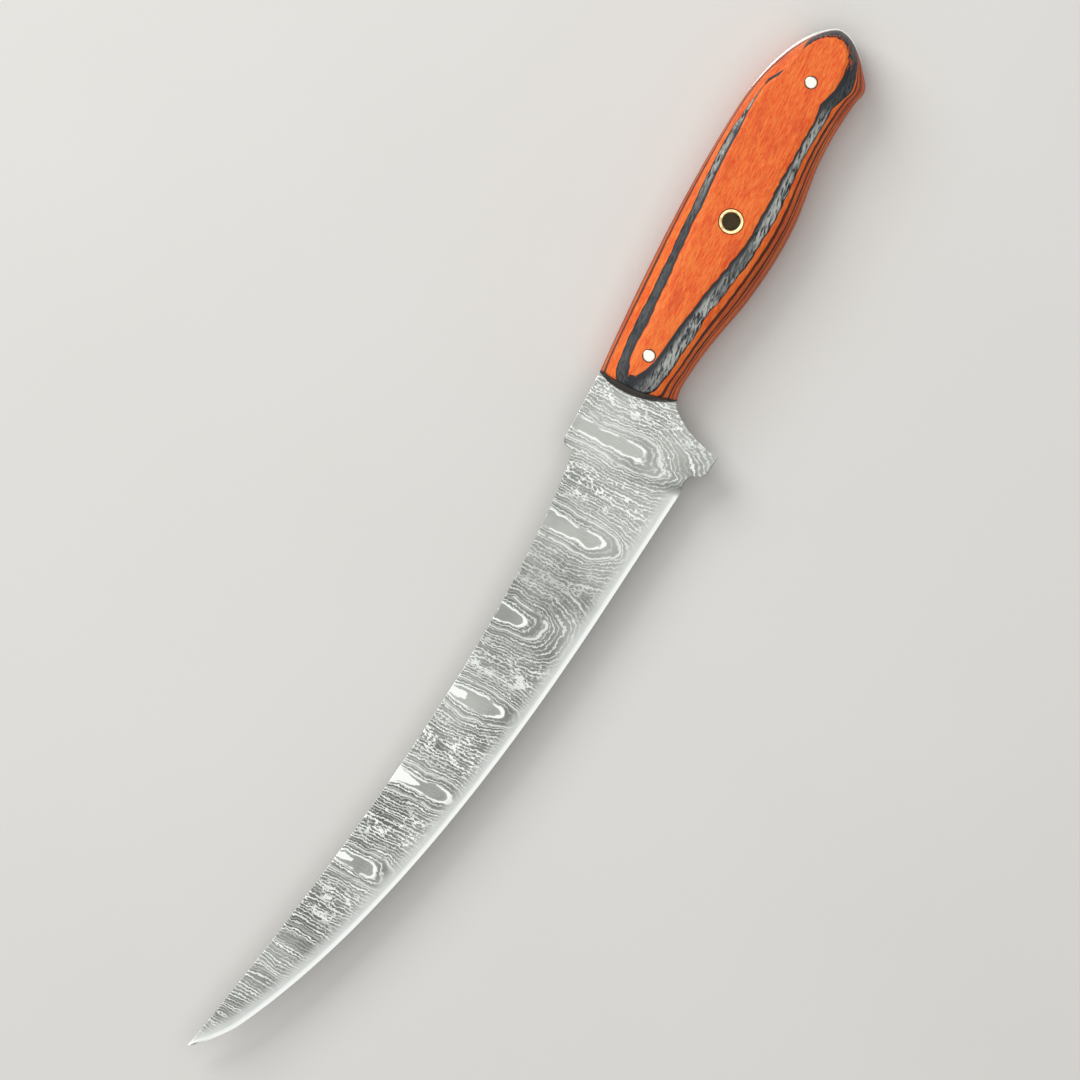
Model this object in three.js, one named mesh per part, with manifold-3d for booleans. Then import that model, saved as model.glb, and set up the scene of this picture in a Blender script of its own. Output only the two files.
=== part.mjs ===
// A fixed-blade fishing knife lying on its right side: a steel blade with a full tang between
// two scales of laminated wood, held by two pins and a lanyard tube. Millimetres.
// X runs from the tip to the butt with 0 at the front of the scales, Y from the edge to the
// spine with 0 on the line from tip to butt, and Z up out of the left scale.
import * as THREE from 'three';
import { mergeVertices, toCreasedNormals } from 'three/addons/utils/BufferGeometryUtils.js';
import Module from 'manifold-3d';

// Ground blade
const STOCK_THICKNESS = 2.5;
const BLADE_LENGTH = 199;
const TIP_DROP = 0.8;
const TIP_WIDTH = 0.5;
const TIP_THICKNESS = 0.8;
const TIP_CURVE_LENGTH = 10.3;
const TIP_CURVE_DEPTH = 8.5;
const TIP_CURVE_LEAD = 3.8;
const SPINE_PULL_FROM_SCALES = 81;
const SPINE_PULL_DEPTH = 13.8;
const EDGE_DEPTH = 28.6;
const EDGE_PULL_FROM_SCALES = 140.5;
const EDGE_STRAIGHT_FROM_SCALES = 48.5;
const EDGE_THICKNESS = 0.1;
const BEVEL_WIDTH = 1.6;
const BEVEL_THICKNESS = 0.6;
const PLUNGE_LENGTH = 4.5;

// Guard and ricasso
const GUARD_BACK_FROM_SCALES = 1.6;
const GUARD_BACK_RISE = 7;
const GUARD_FLAT = 3.7;
const GUARD_FRONT_RUN = 6.1;
const GUARD_DROP = 3.6;
const CHOIL_LENGTH = 2.8;
const CHOIL_RISE = 0.6;
const RICASSO_LENGTH = 20;
const SHOULDER_HEIGHT = 3.5;
const SHOULDER_CHAMFER = 1.1;

// Handle outline, shared by the tang and the scales
const HANDLE_LENGTH = 106;
const SPINE_FRONT_HEIGHT = 5.2;
const CROWN_FROM_BUTT = 29.4;
const CROWN_HEIGHT = 12.7;
const CROWN_RUN_IN = 29.6;
const CROWN_RUN_OUT = 18.5;
const BUTT_HEIGHT = 0.8;
const BUTT_FLAT = 1;
const BUTT_RISE = 4;
const BUTT_FALL = 4.4;
const CORNER_FROM_BUTT = 9.8;
const CORNER_DEPTH = 12.6;
const HOLLOW_FROM_CORNER = 8.8;
const HOLLOW_DEPTH = 11.6;
const HOLLOW_RUN_OUT = 5;
const BELLY_FROM_FRONT = 45.5;
const BELLY_DEPTH = 16.7;
const FINGER_FROM_FRONT = 4.3;
const FINGER_DEPTH = 15.4;
const FINGER_RUN_OUT = 2.6;
const THROAT_FROM_FINGER = 5.7;
const THROAT_DEPTH = 14.2;

// Scales: plies of dyed wood, domed to a flat face and cut to a round front that leans back
const PLIES = 7;
const PLY_THICKNESS = 1.25;
const FACE_PLY_LEFT = 0.5;
const FACE_FRONT_SPINE = -1;
const FACE_FRONT_BELLY = -7.5;
const FACE_SPINE_PULL_FROM_FRONT = 35;
const FACE_SPINE_PULL = -3;
const FACE_BELLY_PULL_FROM_FRONT = 20;
const FACE_BELLY_PULL = -8.5;
const FACE_SWELL_FROM_BUTT = 8;
const FACE_SPINE_SWELL = 18;
const FACE_BELLY_SWELL = -9;
const FACE_END_FROM_BUTT = 2.7;
const FRONT_DROP = 1.6;
const FRONT_RAMP = 6;
const FRONT_RADIUS = 24;
const FRONT_BULGE = 0.8;
const FRONT_LEAN_DEGREES = 9;

// Pins and tube, each in a hole that leaves room for glue
const PIN_DIAMETER = 3.175;
const FRONT_PIN_FROM_FRONT = 10.4;
const FRONT_PIN_HEIGHT = -3;
const REAR_PIN_FROM_BUTT = 15.5;
const REAR_PIN_HEIGHT = 0.5;
const TUBE_DIAMETER = 6.35;
const TUBE_WALL = 0.9;
const TUBE_FROM_FRONT = 50.1;
const TUBE_HEIGHT = -1.8;
const GLUE_GAP = 0.1;

// Fineness of the facets
const CURVE_STEPS = 8;
const ROUND_STEPS = 20;
const BLADE_STATIONS = 36;
const SCALE_STATIONS = 26;
const DOME_STEPS = 8;
const CREASE = Math.PI / 6;

const STEEL = new THREE.MeshStandardMaterial({ color: 0x93979a, roughness: 0.35, metalness: 0.9 });
const PIN_STEEL = new THREE.MeshStandardMaterial({ color: 0xe6e6df, roughness: 0.2, metalness: 0.95 });
const BRASS = new THREE.MeshStandardMaterial({ color: 0xd9bd7c, roughness: 0.25, metalness: 0.95 });
const RED_WOOD = new THREE.MeshStandardMaterial({ color: 0xd2562a, roughness: 0.45, metalness: 0 });
const BLACK_WOOD = new THREE.MeshStandardMaterial({ color: 0x2d3236, roughness: 0.5, metalness: 0 });

const wasm = await Module();
wasm.setup();

const at = (x, y) => new THREE.Vector2(x, y);
const mix = THREE.MathUtils.lerp;

// Joins curves end to end into one path
function pathOf(...curves) {
  const path = new THREE.CurvePath();
  path.curves.push(...curves);
  return path;
}

// A curve that is level at both of its ends
function levelCurve(from, to) {
  const middle = (from.x + to.x) / 2;
  return new THREE.CubicBezierCurve(from, at(middle, from.y), at(middle, to.y), to);
}

// Turns a closed geometry into a solid that can be joined and cut
function solidOf(geometry) {
  geometry.deleteAttribute('normal');
  geometry.deleteAttribute('uv');
  const welded = mergeVertices(geometry);
  const vertProperties = new Float32Array(welded.attributes.position.array);
  const triVerts = new Uint32Array(welded.index.array);
  return new wasm.Manifold(new wasm.Mesh({ numProp: 3, vertProperties, triVerts }));
}

// Turns a solid back into a geometry with crisp edges
function geometryOf(solid) {
  const { vertProperties, triVerts } = solid.getMesh();
  const geometry = new THREE.BufferGeometry();
  geometry.setAttribute('position', new THREE.BufferAttribute(vertProperties, 3));
  geometry.setIndex(new THREE.BufferAttribute(triVerts, 1));
  return toCreasedNormals(geometry, CREASE);
}

// The same geometry, of separate triangles, mirrored in the middle of the stock
function mirrored(geometry) {
  const copy = geometry.clone();
  const positions = copy.attributes.position;
  for (let i = 0; i < positions.count; i += 3) {
    const [a, b, c] = [i, i + 1, i + 2].map((k) => new THREE.Vector3().fromBufferAttribute(positions, k));
    [a, c, b].forEach((p, k) => positions.setXYZ(i + k, p.x, p.y, -p.z));
  }
  return toCreasedNormals(copy, CREASE);
}

function namedMesh(name, geometry, material) {
  const mesh = new THREE.Mesh(geometry, material);
  mesh.name = name;
  return mesh;
}

// Skins a row of rings, each with its points in mirrored pairs, and closes both ends
function skin(rings) {
  const count = rings[0].length;
  const index = [];
  const quad = (a, b, c, d) => index.push(a, b, c, a, c, d);
  for (let ring = 0; ring + 1 < rings.length; ring += 1) {
    const row = ring * count;
    for (let i = 0; i < count; i += 1) {
      const next = (i + 1) % count;
      quad(row + i, row + next, row + next + count, row + i + count);
    }
  }
  const last = (rings.length - 1) * count;
  for (let i = 0; i + 1 < count / 2; i += 1) {
    const across = count - 1 - i;
    quad(i, across, across - 1, i + 1);
    quad(last + i, last + i + 1, last + across - 1, last + across);
  }
  const geometry = new THREE.BufferGeometry();
  geometry.setFromPoints(rings.flat());
  geometry.setIndex(index);
  return geometry;
}

// Corner points of the steel's outline
const tipSpine = at(-BLADE_LENGTH, -TIP_DROP);
const tipEdge = at(-BLADE_LENGTH, -TIP_DROP - TIP_WIDTH);
const tipCurveEnd = at(-BLADE_LENGTH + TIP_CURVE_LENGTH, -TIP_CURVE_DEPTH);
const edgeStraight = at(-EDGE_STRAIGHT_FROM_SCALES, -EDGE_DEPTH);
const guardBack = at(-GUARD_BACK_FROM_SCALES, -EDGE_DEPTH + CHOIL_RISE - GUARD_DROP);
const guardFront = at(guardBack.x - GUARD_FLAT, guardBack.y);
const choil = at(guardFront.x - GUARD_FRONT_RUN, -EDGE_DEPTH + CHOIL_RISE);
const heel = at(choil.x - CHOIL_LENGTH, -EDGE_DEPTH);
const notch = at(-RICASSO_LENGTH, 0);
const shoulderFoot = at(notch.x, SHOULDER_HEIGHT - SHOULDER_CHAMFER);
const shoulderTop = at(notch.x + SHOULDER_CHAMFER, SHOULDER_HEIGHT);
const spineFront = at(0, SPINE_FRONT_HEIGHT);
const crown = at(HANDLE_LENGTH - CROWN_FROM_BUTT, CROWN_HEIGHT);
const buttTop = at(HANDLE_LENGTH, BUTT_HEIGHT + BUTT_FLAT / 2);
const buttBottom = at(HANDLE_LENGTH, BUTT_HEIGHT - BUTT_FLAT / 2);
const corner = at(HANDLE_LENGTH - CORNER_FROM_BUTT, -CORNER_DEPTH);
const hollow = at(corner.x - HOLLOW_FROM_CORNER, -HOLLOW_DEPTH);
const belly = at(BELLY_FROM_FRONT, -BELLY_DEPTH);
const finger = at(FINGER_FROM_FRONT, -FINGER_DEPTH);
const throat = at(finger.x + THROAT_FROM_FINGER, -THROAT_DEPTH);
const fingerPull = at(finger.x + FINGER_RUN_OUT, throat.y);

// Spine side of the handle from front to butt, and belly side from butt to front
const handleSpine = [
  new THREE.QuadraticBezierCurve(spineFront, at(crown.x - CROWN_RUN_IN, crown.y), crown),
  new THREE.CubicBezierCurve(
    crown,
    at(crown.x + CROWN_RUN_OUT, crown.y),
    at(buttTop.x, buttTop.y + BUTT_RISE),
    buttTop,
  ),
];
const handleBelly = [
  new THREE.QuadraticBezierCurve(buttBottom, at(buttBottom.x, buttBottom.y - BUTT_FALL), corner),
  new THREE.QuadraticBezierCurve(corner, at(hollow.x + HOLLOW_RUN_OUT, hollow.y), hollow),
  levelCurve(hollow, belly),
  levelCurve(belly, throat),
  new THREE.QuadraticBezierCurve(throat, fingerPull, finger),
];

// Ricasso, guard and tang: a plate of full stock behind the line where the grind ends
function plateSolid() {
  const guardCurve = new THREE.CubicBezierCurve(
    finger,
    finger.clone().multiplyScalar(2).sub(fingerPull),
    at(guardBack.x, guardBack.y + GUARD_BACK_RISE),
    guardBack,
  );
  const outline = new THREE.Shape();
  outline.curves.push(
    new THREE.LineCurve(notch, shoulderFoot),
    new THREE.LineCurve(shoulderFoot, shoulderTop),
    new THREE.LineCurve(shoulderTop, spineFront),
    ...handleSpine,
    new THREE.LineCurve(buttTop, buttBottom),
    ...handleBelly,
    guardCurve,
    new THREE.LineCurve(guardBack, guardFront),
    levelCurve(guardFront, choil),
    new THREE.LineCurve(choil, notch),
  );
  const plate = new THREE.ExtrudeGeometry(outline, {
    depth: STOCK_THICKNESS,
    bevelEnabled: false,
    curveSegments: CURVE_STEPS,
  });
  plate.translate(0, 0, -STOCK_THICKNESS / 2);
  return solidOf(plate);
}

// The ground blade: sections from edge to spine that thin towards the tip, fill out to the full
// stock over the plunge and run on into the plate
function groundBladeSolid() {
  const spine = new THREE.QuadraticBezierCurve(
    tipSpine,
    at(-SPINE_PULL_FROM_SCALES, -SPINE_PULL_DEPTH),
    notch,
  );
  const tipPull = at(tipEdge.x + TIP_CURVE_LEAD, (tipEdge.y + tipCurveEnd.y) / 2);
  const edge = pathOf(
    new THREE.QuadraticBezierCurve(tipEdge, tipPull, tipCurveEnd),
    new THREE.QuadraticBezierCurve(tipCurveEnd, at(-EDGE_PULL_FROM_SCALES, -EDGE_DEPTH), edgeStraight),
    new THREE.LineCurve(edgeStraight, heel),
    new THREE.LineCurve(heel, choil),
  );
  const edgeLength = edge.getLength();
  const rings = [];
  for (let i = 0; i <= BLADE_STATIONS; i += 1) {
    const along = (1 - Math.cos((Math.PI * i) / BLADE_STATIONS)) / 2;
    const spinePoint = spine.getPointAt(along);
    const edgePoint = edge.getPointAt(along);
    const bevelShare = Math.min(BEVEL_WIDTH / spinePoint.distanceTo(edgePoint), 1 / 2);
    const bevelPoint = edgePoint.clone().lerp(spinePoint, bevelShare);
    const plunge = 1 - THREE.MathUtils.smoothstep((1 - along) * edgeLength, 0, PLUNGE_LENGTH);
    const spineThickness = mix(TIP_THICKNESS, STOCK_THICKNESS, along);
    const bevelThickness = mix(Math.min(BEVEL_THICKNESS, spineThickness), STOCK_THICKNESS, plunge);
    const edgeThickness = mix(EDGE_THICKNESS, STOCK_THICKNESS, plunge);
    const upper = [
      new THREE.Vector3(edgePoint.x, edgePoint.y, edgeThickness / 2),
      new THREE.Vector3(bevelPoint.x, bevelPoint.y, bevelThickness / 2),
      new THREE.Vector3(spinePoint.x, spinePoint.y, spineThickness / 2),
    ];
    const lower = upper.map((p) => new THREE.Vector3(p.x, p.y, -p.z));
    rings.push([...lower, ...upper.reverse()]);
  }
  const lap = new THREE.Vector3(STOCK_THICKNESS, 0, 0);
  rings.push(rings.at(-1).map((p) => p.clone().add(lap)));
  return solidOf(skin(rings));
}

// Height of the scale's face above the tang: level, but easing down to the front
const FACE_HEIGHT = (PLIES - 1) * PLY_THICKNESS + FACE_PLY_LEFT;
function faceHeight(x) {
  const ahead = Math.max(0, (FRONT_RAMP - x) / FRONT_RAMP);
  return FACE_HEIGHT - FRONT_DROP * ahead * ahead;
}

// The scale before its front is cut: a parabolic dome from the tang's outline up to a flat face
function domeSolid() {
  const start = -2 * FRONT_BULGE;
  const faceEnd = HANDLE_LENGTH - FACE_END_FROM_BUTT;
  const faceSwell = HANDLE_LENGTH - FACE_SWELL_FROM_BUTT;
  const spineFoot = pathOf(new THREE.LineCurve(at(start, spineFront.y), spineFront), ...handleSpine);
  const bellyFoot = pathOf(...handleBelly, new THREE.LineCurve(finger, at(start, finger.y)));
  const spineFace = new THREE.CubicBezierCurve(
    at(start, FACE_FRONT_SPINE),
    at(FACE_SPINE_PULL_FROM_FRONT, FACE_SPINE_PULL),
    at(faceSwell, FACE_SPINE_SWELL),
    at(faceEnd, buttTop.y),
  );
  const bellyFace = new THREE.CubicBezierCurve(
    at(faceEnd, buttBottom.y),
    at(faceSwell, FACE_BELLY_SWELL),
    at(FACE_BELLY_PULL_FROM_FRONT, FACE_BELLY_PULL),
    at(start, FACE_FRONT_BELLY),
  );
  const wing = (foot, face, along) => {
    const low = foot.getPointAt(along);
    const high = face.getPointAt(along);
    const height = faceHeight(high.x);
    return Array.from({ length: DOME_STEPS + 1 }, (_, step) => {
      const rise = step / DOME_STEPS;
      const inward = 1 - Math.sqrt(1 - rise);
      return new THREE.Vector3(mix(low.x, high.x, inward), mix(low.y, high.y, inward), rise * height);
    });
  };
  const rings = [];
  for (let i = 0; i <= SCALE_STATIONS; i += 1) {
    const along = i / SCALE_STATIONS;
    const spineWing = wing(spineFoot, spineFace, along);
    const bellyWing = wing(bellyFoot, bellyFace, 1 - along);
    rings.push([...spineWing, ...bellyWing.reverse()]);
  }
  return solidOf(skin(rings));
}

// Everything behind the scales' front face, which is round in plan and leans back
function behindFrontSolid() {
  const outline = new THREE.Shape();
  const back = HANDLE_LENGTH + FRONT_RADIUS;
  outline.absarc(FRONT_RADIUS - FRONT_BULGE, 0, FRONT_RADIUS, Math.PI / 2, (3 * Math.PI) / 2);
  outline.lineTo(back, -FRONT_RADIUS);
  outline.lineTo(back, FRONT_RADIUS);
  const behind = new THREE.ExtrudeGeometry(outline, {
    depth: FACE_HEIGHT + PLY_THICKNESS,
    bevelEnabled: false,
    curveSegments: ROUND_STEPS,
  });
  const lean = Math.tan(THREE.MathUtils.degToRad(FRONT_LEAN_DEGREES));
  behind.applyMatrix4(new THREE.Matrix4().makeShear(0, 0, 0, 0, lean, 0));
  return solidOf(behind);
}

// One ply of the scale: the dome between two heights
function plySolid(dome, number) {
  const bottom = (number - 1) * PLY_THICKNESS;
  const top = bottom + PLY_THICKNESS;
  const slab = new THREE.BoxGeometry(4 * HANDLE_LENGTH, HANDLE_LENGTH, PLY_THICKNESS);
  slab.translate(0, 0, (bottom + top) / 2);
  return dome.intersect(solidOf(slab));
}

// A rod standing square through the tang, with as much of it above as below
function rod(place, diameter, halfLength) {
  const geometry = new THREE.CylinderGeometry(diameter / 2, diameter / 2, 2 * halfLength, ROUND_STEPS);
  geometry.rotateX(Math.PI / 2);
  geometry.translate(place.x, place.y, 0);
  return geometry;
}

const HALF_HANDLE = STOCK_THICKNESS / 2 + FACE_HEIGHT;
const frontPin = at(FRONT_PIN_FROM_FRONT, FRONT_PIN_HEIGHT);
const rearPin = at(HANDLE_LENGTH - REAR_PIN_FROM_BUTT, REAR_PIN_HEIGHT);
const tube = at(TUBE_FROM_FRONT, TUBE_HEIGHT);

// Drills the holes for the pins and the tube
function drilled(solid) {
  const depth = HALF_HANDLE + STOCK_THICKNESS;
  const pinHole = PIN_DIAMETER + 2 * GLUE_GAP;
  const tubeHole = TUBE_DIAMETER + 2 * GLUE_GAP;
  return solid
    .subtract(solidOf(rod(frontPin, pinHole, depth)))
    .subtract(solidOf(rod(rearPin, pinHole, depth)))
    .subtract(solidOf(rod(tube, tubeHole, depth)));
}

function bladeMesh() {
  const steel = drilled(groundBladeSolid().add(plateSolid()));
  return namedMesh('blade', geometryOf(steel), STEEL);
}

// Both scales, ply by ply from the tang out to the face, red and black in turn
function scaleGroups() {
  const dome = drilled(domeSolid().intersect(behindFrontSolid()));
  const left = new THREE.Group();
  const right = new THREE.Group();
  left.position.z = STOCK_THICKNESS / 2;
  right.position.z = -STOCK_THICKNESS / 2;
  for (let number = 1; number <= PLIES; number += 1) {
    const isRed = number % 2 === 1;
    const name = `ply_${number}_${isRed ? 'red' : 'black'}`;
    const wood = isRed ? RED_WOOD : BLACK_WOOD;
    const geometry = geometryOf(plySolid(dome, number));
    left.add(namedMesh(`left_${name}`, geometry, wood));
    right.add(namedMesh(`right_${name}`, mirrored(geometry), wood));
  }
  return [left, right];
}

// A pin, ground flush with the face on both sides
function pinMesh(name, place) {
  const flush = STOCK_THICKNESS / 2 + faceHeight(place.x);
  return namedMesh(name, rod(place, PIN_DIAMETER, flush), PIN_STEEL);
}

function tubeMesh() {
  const outer = TUBE_DIAMETER / 2;
  const inner = outer - TUBE_WALL;
  const wall = [
    at(inner, -HALF_HANDLE),
    at(outer, -HALF_HANDLE),
    at(outer, HALF_HANDLE),
    at(inner, HALF_HANDLE),
    at(inner, -HALF_HANDLE),
  ];
  const mesh = namedMesh('lanyard_tube', new THREE.LatheGeometry(wall, ROUND_STEPS), BRASS);
  mesh.rotation.x = Math.PI / 2;
  mesh.position.set(tube.x, tube.y, 0);
  return mesh;
}

const knife = new THREE.Group();
knife.add(bladeMesh(), ...scaleGroups());
knife.add(pinMesh('front_pin', frontPin), pinMesh('rear_pin', rearPin), tubeMesh());

// The knife lies on the right scale's face, with the origin under the middle of its box
const box = new THREE.Box3().setFromObject(knife);
const middle = box.getCenter(new THREE.Vector3());
knife.position.set(-middle.x, -middle.y, -box.min.z);

export default knife;
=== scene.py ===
import bpy
import numpy as np
from mathutils import Matrix, Vector
from mathutils.geometry import delaunay_2d_cdt


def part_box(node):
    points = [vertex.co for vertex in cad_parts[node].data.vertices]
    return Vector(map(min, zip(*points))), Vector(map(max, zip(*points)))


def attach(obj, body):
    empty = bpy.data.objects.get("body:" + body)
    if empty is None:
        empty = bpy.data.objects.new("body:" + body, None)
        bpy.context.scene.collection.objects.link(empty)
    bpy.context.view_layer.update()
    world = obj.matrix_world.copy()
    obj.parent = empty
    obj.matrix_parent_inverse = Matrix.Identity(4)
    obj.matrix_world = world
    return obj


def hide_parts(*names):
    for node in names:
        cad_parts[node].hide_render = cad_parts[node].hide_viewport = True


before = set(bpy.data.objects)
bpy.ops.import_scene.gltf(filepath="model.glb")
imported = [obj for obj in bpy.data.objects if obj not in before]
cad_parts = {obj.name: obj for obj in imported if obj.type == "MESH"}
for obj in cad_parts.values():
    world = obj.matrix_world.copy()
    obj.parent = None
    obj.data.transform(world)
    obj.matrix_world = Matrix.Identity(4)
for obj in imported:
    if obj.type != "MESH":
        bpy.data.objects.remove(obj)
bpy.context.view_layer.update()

# Blade. One bar of pattern-welded steel, ground to a long upswept edge and left at full thickness in the
# ricasso, the guard and the tang, which runs to the butt. The faces were etched, so that the layers stand
# out, and the edge was honed last. Sizes are in mm from the front of the scales, on the tip-to-butt line.
MM = 0.001
HANDLE_LENGTH = 106.0
CROWN_HEIGHT = 12.7
blade_low, blade_high = (np.array(corner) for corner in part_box("blade"))
DATUM = np.array([
    blade_high[0] - HANDLE_LENGTH * MM,
    blade_high[1] - CROWN_HEIGHT * MM,
    (blade_low[2] + blade_high[2]) / 2,
])
BLADE_LENGTH = (DATUM[0] - blade_low[0]) / MM
HALF_STOCK = (blade_high[2] - blade_low[2]) / MM / 2

TIP_SPINE = (-BLADE_LENGTH, -0.8)
TIP_EDGE = (-BLADE_LENGTH, -1.1)
TIP_PULL = (-BLADE_LENGTH + 3.8, -4.9)
TIP_CURVE_END = (-BLADE_LENGTH + 10.3, -8.5)
SPINE_PULL = (-81.0, -13.8)
EDGE_PULL = (-140.5, -28.6)
EDGE_STRAIGHT = (-48.5, -28.6)
HEEL = (-14.2, -28.6)
CHOIL = (-11.4, -28.0)
GUARD_FRONT = (-5.3, -31.6)
GUARD_BACK = (-1.6, -31.6)
NOTCH = (-20.0, 0.0)
SHOULDER_FOOT = (-20.0, 2.4)
SHOULDER_TOP = (-18.9, 3.5)
RICASSO_MIDDLE = (-9.0, 4.39)
SPINE_FRONT = (0.0, 5.2)
CROWN = (76.6, CROWN_HEIGHT)
BUTT_TOP = (HANDLE_LENGTH, 1.3)
BUTT_BOTTOM = (HANDLE_LENGTH, 0.3)
CORNER = (96.2, -12.6)
CORNER_OUT = (97.9, -11.1)
CORNER_ROUND = 0.55
HOLLOW = (87.4, -11.6)
BELLY = (45.5, -16.7)
THROAT = (10.0, -14.2)
FINGER = (4.3, -15.4)
FINGER_PULL = (1.7, -16.6)
FINGER_RUN_OUT = 2.6
GUARD_RUN_OUT = 4.4
GUARD_RUN_IN = 4.7
GUARD_BACK_RISE = 7.0
CROWN_RUN_IN = 29.6
CROWN_RUN_OUT = 18.5
BUTT_RISE = 4.0
BUTT_FALL = 4.4
HOLLOW_RUN_OUT = 5.0

TIP_HALF = 0.25
EDGE_HALF = 0.05
BEVEL_WIDTH = 1.6
BEVEL_HALF = 0.3
BREAK = 0.2
PLUNGE_LENGTH = 4.5
CURVE_STEPS = 120


def bezier(t, *pulls):
    """Point on a Bezier curve at each t: neighbouring control points are mixed by t until one is left."""
    points = [np.array(pull, float) + np.zeros((len(t), 1)) for pull in pulls]
    while len(points) > 1:
        points = [a + (b - a) * t[:, None] for a, b in zip(points, points[1:])]
    return points[0]


def curve(*pulls):
    """A stretch of outline: a Bezier curve sampled evenly, where two points make a straight line."""
    return bezier(np.linspace(0, 1, CURVE_STEPS), *pulls)


def level_curve(start, end):
    """A stretch of outline that is level at both ends: a Bezier curve pulled to the middle of its run."""
    middle = (start[0] + end[0]) / 2
    return curve(start, (middle, start[1]), (middle, end[1]), end)


def path(*stretches):
    """Joins stretches end to end and returns the function from a share of the whole length to a point."""
    points = np.vstack(stretches)
    steps = np.hypot(*np.diff(points, axis=0).T)
    share = np.append(0, np.cumsum(steps)) / steps.sum()
    return lambda s: np.stack([np.interp(s, share, points[:, axis]) for axis in (0, 1)], axis=-1)


def smooth(low, high, value):
    """0 below low, 1 above high, and the curve 3t^2 - 2t^3 between."""
    t = np.clip((value - low) / (high - low), 0, 1)
    return t * t * (3 - 2 * t)


def skin(rings):
    """Quads over rows of rings whose points pair up across, i with -1 - i, and a ladder over each end."""
    rows, count = rings.shape[:2]
    index = np.arange(rows * count).reshape(rows, count)
    turned = np.roll(index, -1, axis=1)
    sides = np.stack([index[:-1], turned[:-1], turned[1:], index[1:]], axis=-1).reshape(-1, 4)
    low = np.stack([index[0, :-1], index[0, 1:], index[0, ::-1][1:], index[0, ::-1][:-1]], axis=-1)
    high = np.stack([index[-1, :-1], index[-1, ::-1][:-1], index[-1, ::-1][1:], index[-1, 1:]], axis=-1)
    half = count // 2 - 1
    return np.vstack([sides, low[:half], high[:half]])


def outward(points, faces):
    """The faces, turned over if the volume that they enclose comes out negative."""
    a, b, c = (points[[face[k] for face in faces]] for k in (0, 1, 2))
    d = points[[face[-1] for face in faces]]
    volume = np.einsum("ij,ij->i", a, np.cross(b, c)) + np.einsum("ij,ij->i", a, np.cross(c, d))
    return faces if volume.sum() > 0 else [face[::-1] for face in faces]


def piece(name, points, faces, material, flat=None):
    """A mesh object from points in millimetres from the datum, smooth but for the faces that flat marks."""
    faces = outward(points, [list(map(int, face)) for face in faces])
    mesh = bpy.data.meshes.new(name)
    mesh.from_pydata((DATUM + points * MM).tolist(), [], faces)
    mesh.polygons.foreach_set("use_smooth", np.ones(len(faces), bool) if flat is None else ~flat)
    mesh.materials.append(material)
    made = bpy.data.objects.new(name, mesh)
    bpy.context.collection.objects.link(made)
    return made


def paint(made, name, values):
    """Stores one number for each vertex, for the material to read."""
    layer = made.data.attributes.new(name, "FLOAT", "POINT")
    layer.data.foreach_set("value", np.ascontiguousarray(values, np.float32).ravel())


BLADE_STATIONS = 220
RICASSO_STATIONS = 12
TANG_STATIONS = 90
GRIND_ROWS = 16

# Stations lie closer together towards the tip and the plunge.
half_turn = np.linspace(0, np.pi, BLADE_STATIONS)
blade_share = (1 - np.cos(half_turn)) / 2
ground_spine = path(curve(TIP_SPINE, SPINE_PULL, NOTCH))(blade_share)
ground_edge = path(
    curve(TIP_EDGE, TIP_PULL, TIP_CURVE_END),
    curve(TIP_CURVE_END, EDGE_PULL, EDGE_STRAIGHT),
    curve(EDGE_STRAIGHT, HEEL),
    curve(HEEL, CHOIL),
)
plunge_run = np.hypot(*(ground_edge(blade_share) - np.array(CHOIL)).T)

ricasso_share = np.linspace(0, 1, RICASSO_STATIONS)
tang_share = np.linspace(0, 1, TANG_STATIONS)[1:]
handle_spine = [
    curve(SPINE_FRONT, (CROWN[0] - CROWN_RUN_IN, CROWN[1]), CROWN),
    curve(CROWN, (CROWN[0] + CROWN_RUN_OUT, CROWN[1]), (BUTT_TOP[0], BUTT_TOP[1] + BUTT_RISE), BUTT_TOP),
]
corner_pull = (HOLLOW[0] + HOLLOW_RUN_OUT, HOLLOW[1])
corner_in = tuple(np.array(CORNER) * (1 - CORNER_ROUND) + np.array(corner_pull) * CORNER_ROUND)
handle_belly = [
    curve(FINGER, (FINGER[0] + FINGER_RUN_OUT, THROAT[1]), THROAT),
    level_curve(THROAT, BELLY),
    level_curve(BELLY, HOLLOW),
    curve(HOLLOW, corner_pull, corner_in),
    curve(corner_in, CORNER, CORNER_OUT),
    curve(CORNER_OUT, (BUTT_BOTTOM[0], BUTT_BOTTOM[1] - BUTT_FALL), BUTT_BOTTOM),
]
guard_slope = path(curve(
    CHOIL,
    (CHOIL[0] + GUARD_RUN_OUT, CHOIL[1]),
    (GUARD_FRONT[0] - GUARD_RUN_IN, GUARD_FRONT[1]),
    GUARD_FRONT,
))
guard_throat = path(curve(
    GUARD_BACK,
    (GUARD_BACK[0], GUARD_BACK[1] + GUARD_BACK_RISE),
    FINGER_PULL,
    FINGER,
))
plate_top = np.vstack([
    path(curve(NOTCH, SHOULDER_FOOT))(ricasso_share)[1:],
    path(curve(SHOULDER_FOOT, SHOULDER_TOP))(ricasso_share)[1:],
    path(curve(SHOULDER_TOP, RICASSO_MIDDLE))(ricasso_share)[1:],
    path(curve(RICASSO_MIDDLE, SPINE_FRONT))(ricasso_share)[1:],
    path(*handle_spine)(tang_share),
])
plate_bottom = np.vstack([
    guard_slope(ricasso_share / 2)[1:],
    guard_slope(0.5 + ricasso_share / 2)[1:],
    path(curve(GUARD_FRONT, GUARD_BACK))(ricasso_share)[1:],
    guard_throat(ricasso_share)[1:],
    path(*handle_belly)(tang_share),
])
spine_side = np.vstack([ground_spine, plate_top])
edge_side = np.vstack([ground_edge(blade_share), plate_bottom])
plate_ones = np.ones(len(plate_top))
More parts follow.
